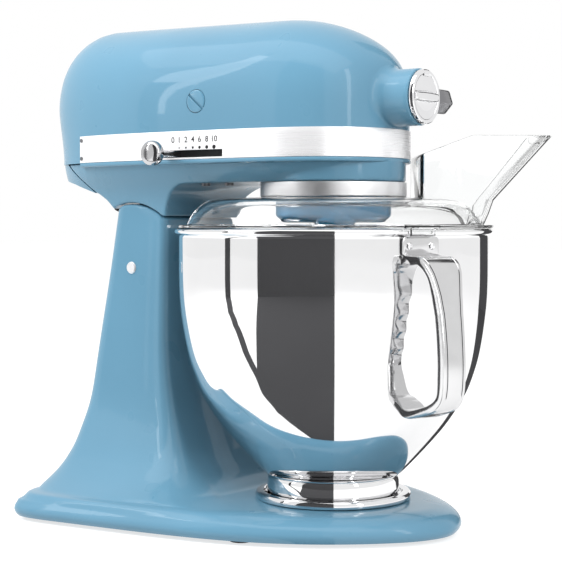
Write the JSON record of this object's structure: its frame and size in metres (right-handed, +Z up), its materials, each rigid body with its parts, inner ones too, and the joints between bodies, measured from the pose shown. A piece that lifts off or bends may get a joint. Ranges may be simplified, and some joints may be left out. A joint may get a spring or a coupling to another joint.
{
  "type": "stand mixer",
  "caption": "Tilt-head stand mixer: domed motor head on a cast column, polished bowl with strap handle, clear pouring shield with chute, planetary beater drive and front attachment hub.",
  "frame": {"origin": "centre of the overall box on the plane the feet stand on", "axes": "+Z up, +X towards the nose and the attachment hub, -Y towards the speed lever's side"},
  "size_m": [0.3878, 0.2465, 0.3621],
  "materials": {
    "body_paint": "smooth glossy pale blue enamel",
    "planetary_paint": "glossy blue enamel, a shade deeper",
    "brush_cap_plastic": "gloss moulded, body colour",
    "band_metal": "satin silver, printed speed scale",
    "bright_chrome": "polished",
    "bowl_steel": "mirror polished stainless steel",
    "handle_steel": "polished stainless steel",
    "lever_metal": "plated",
    "knob_metal": "dark plated, fluted",
    "lock_lever_metal": "plated",
    "steel": "machined",
    "screw_steel": "zinc plated",
    "gear_steel": "machined, greased",
    "wheel_bronze": "bronze",
    "cast_aluminium": "as cast",
    "lamination": "stacked laminations",
    "copper": "enamelled copper",
    "black_plastic": "moulded",
    "carbon": "pressed carbon",
    "board_green": "circuit board",
    "cover_plastic": "pressed plate",
    "rubber_black": "soft",
    "clear_plastic": "clear moulded plastic"
  },
  "bodies": {
    "stand": {"pedestal_casting": "body_paint", "bowl_clamp_plate": "bright_chrome", "clamp_plate_screws": "screw_steel", "rubber_feet": "rubber_black", "head_hinge_pin": "bright_chrome", "base_cover_plate": "cover_plastic"},
    "lock": {"lock_lever": "lock_lever_metal", "lock_bolt": "steel"},
    "head": {"motor_housing": "body_paint", "trim_band": "band_metal", "gearcase": "body_paint", "rear_cover": "body_paint", "rear_cover_screw": "screw_steel", "gearcase_screws": "screw_steel", "attachment_hub_sleeve": "body_paint", "hub_cover_pin": "bright_chrome", "brush_caps": "brush_cap_plastic", "brush_holders": "black_plastic", "carbon_brushes": "carbon", "motor_stator": "lamination", "stator_windings": "copper", "rear_bearing_bracket": "cast_aluminium", "armature_bearings": "steel", "motor_bulkhead": "cast_aluminium", "speed_control_board": "board_green", "planetary_trim_ring": "bright_chrome", "ring_gear": "gear_steel", "bearing_plate": "cast_aluminium", "drive_bushes": "wheel_bronze", "hub_bearing": "wheel_bronze", "cord_gland": "rubber_black", "band_screws": "screw_steel"},
    "armature": {"armature_worm_shaft": "steel", "armature_core": "lamination", "armature_windings": "copper", "commutator": "copper", "cooling_fan": "black_plastic"},
    "wheel": {"worm_wheel": "wheel_bronze", "drive_pinion": "gear_steel", "wheel_shaft": "steel"},
    "planetary": {"center_shaft": "steel", "center_spur_gear": "gear_steel", "center_bevel_gear": "gear_steel", "planetary_carrier": "planetary_paint"},
    "beater": {"beater_shaft": "steel", "beater_drive_pin": "steel", "planet_pinion": "gear_steel"},
    "hub_drive": {"hub_bevel_gear": "gear_steel", "hub_drive_socket": "steel"},
    "speed_control": {"speed_lever": "lever_metal", "speed_knob": "bright_chrome", "speed_link": "black_plastic"},
    "hub_cover_flap": {"hub_cover": "bright_chrome"},
    "attachment_lock": {"attachment_screw": "steel", "attachment_knob": "knob_metal"},
    "bowl_assembly": {"bowl": "bowl_steel", "bowl_foot": "bowl_steel", "bowl_handle": "handle_steel", "handle_rivets": "bright_chrome"},
    "shield": {"pouring_shield": "clear_plastic"}
  },
  "joints": [
    {"name": "head_tilt", "type": "hinge", "parent": "stand", "child": "head", "pos_m": [-0.09643, 0, 0.1813], "axis": [0, -1, 0], "range_deg": [0, 40]},
    {"name": "lock_slide", "type": "slide", "parent": "stand", "child": "lock", "axis": [1, 0, 0], "range_m": [0, 0.0064]},
    {"name": "speed_slide", "type": "slide", "parent": "head", "child": "speed_control", "axis": [1, 0, 0], "range_m": [0, 0.041]},
    {"name": "motor_spin", "type": "hinge", "parent": "head", "child": "armature", "pos_m": [-0.04493, 0, 0.3], "axis": [1, 0, 0], "continuous": true},
    {"name": "wheel_spin", "type": "hinge", "parent": "head", "child": "wheel", "pos_m": [0.01754, 0.022, 0.28], "axis": [0, 0, 1], "continuous": true},
    {"name": "planetary_spin", "type": "hinge", "parent": "head", "child": "planetary", "pos_m": [0.05507, 0, 0.24], "axis": [0, 0, 1], "continuous": true},
    {"name": "beater_spin", "type": "hinge", "parent": "planetary", "child": "beater", "pos_m": [0.07037, -0.02133, 0.22], "axis": [0, 0, 1], "continuous": true},
    {"name": "hub_spin", "type": "hinge", "parent": "head", "child": "hub_drive", "pos_m": [0.09507, 0, 0.3], "axis": [1, 0, 0], "continuous": true},
    {"name": "hub_cover_flip", "type": "hinge", "parent": "head", "child": "hub_cover_flap", "pos_m": [0.12887, 0, 0.3154], "axis": [0, -1, 0], "range_deg": [0, 100]},
    {"name": "attachment_knob_turn", "type": "hinge", "parent": "head", "child": "attachment_lock", "pos_m": [0.11707, 0.03, 0.3], "axis": [0, 1, 0], "continuous": true},
    {"name": "bowl_turn", "type": "hinge", "parent": "stand", "child": "bowl_assembly", "pos_m": [0.05507, 0, 0.03], "axis": [0, 0, 1], "range_deg": [0, 25]},
    {"name": "shield_slide", "type": "slide", "parent": "stand", "child": "shield", "axis": [1, 0, 0], "range_m": [0, 0.12]}
  ],
  "couplings": [
    {"joint": "wheel_spin", "follows": "motor_spin", "ratio": 0.05},
    {"joint": "planetary_spin", "follows": "motor_spin", "ratio": -0.015909},
    {"joint": "beater_spin", "follows": "motor_spin", "ratio": 0.071591},
    {"joint": "hub_spin", "follows": "motor_spin", "ratio": -0.015909}
  ]
}
